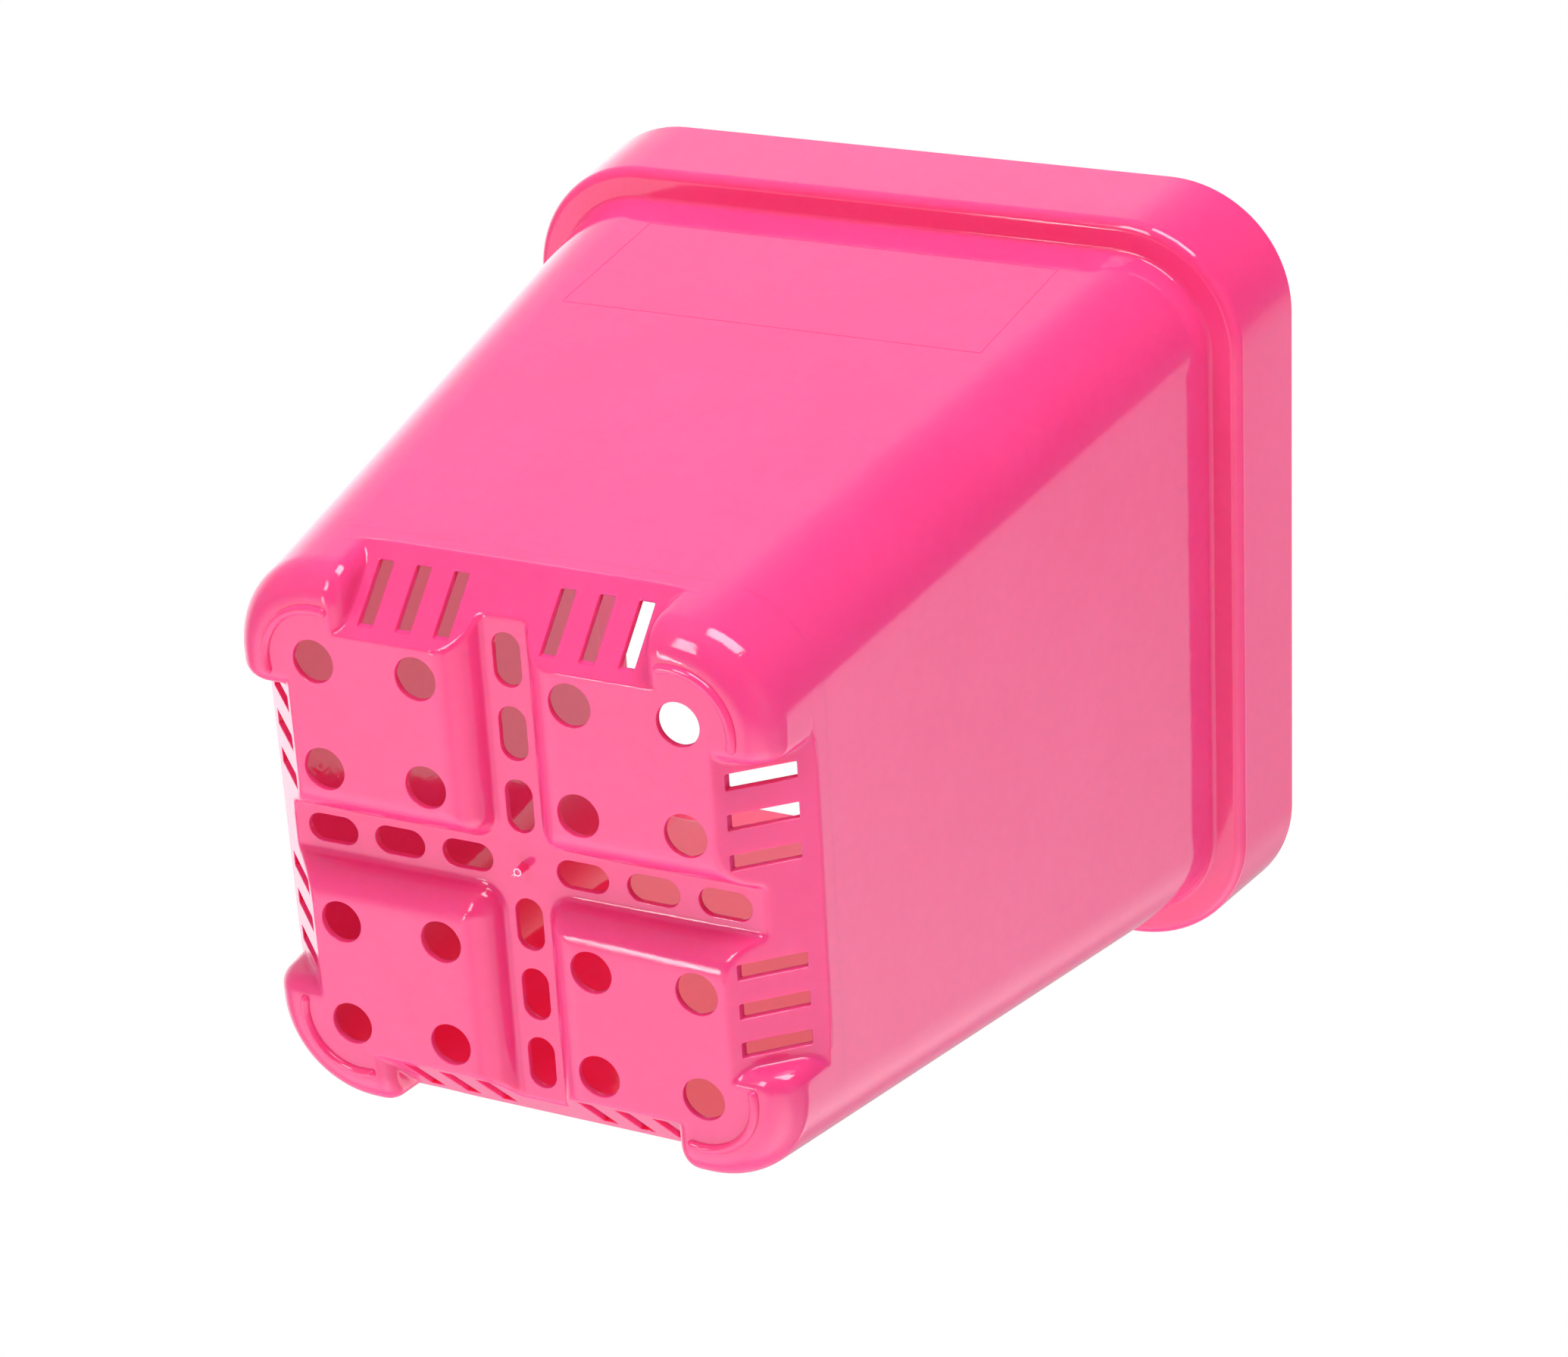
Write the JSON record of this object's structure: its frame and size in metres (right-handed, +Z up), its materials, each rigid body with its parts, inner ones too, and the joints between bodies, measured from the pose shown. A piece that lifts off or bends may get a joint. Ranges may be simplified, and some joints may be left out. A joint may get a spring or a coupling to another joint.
{
  "type": "square seed starting pot",
  "caption": "Square tapered seed starting pot with a stepped-out collar, cross-channelled base, round drain holes, channel slots and side vents.",
  "frame": {"origin": "centre of the footprint on the ground, level with the crests of the foot ribs", "axes": "+Z runs up from the base to the rim; +X and +Y are square to the flat walls, and the wall that bears the faint blank panel faces -Y"},
  "size_m": [0.14, 0.14, 0.158],
  "materials": {
    "pot_plastic": "glossy hot pink polypropylene, even colour right through"
  },
  "bodies": {
    "root": {"pot": "pot_plastic"}
  },
  "joints": []
}
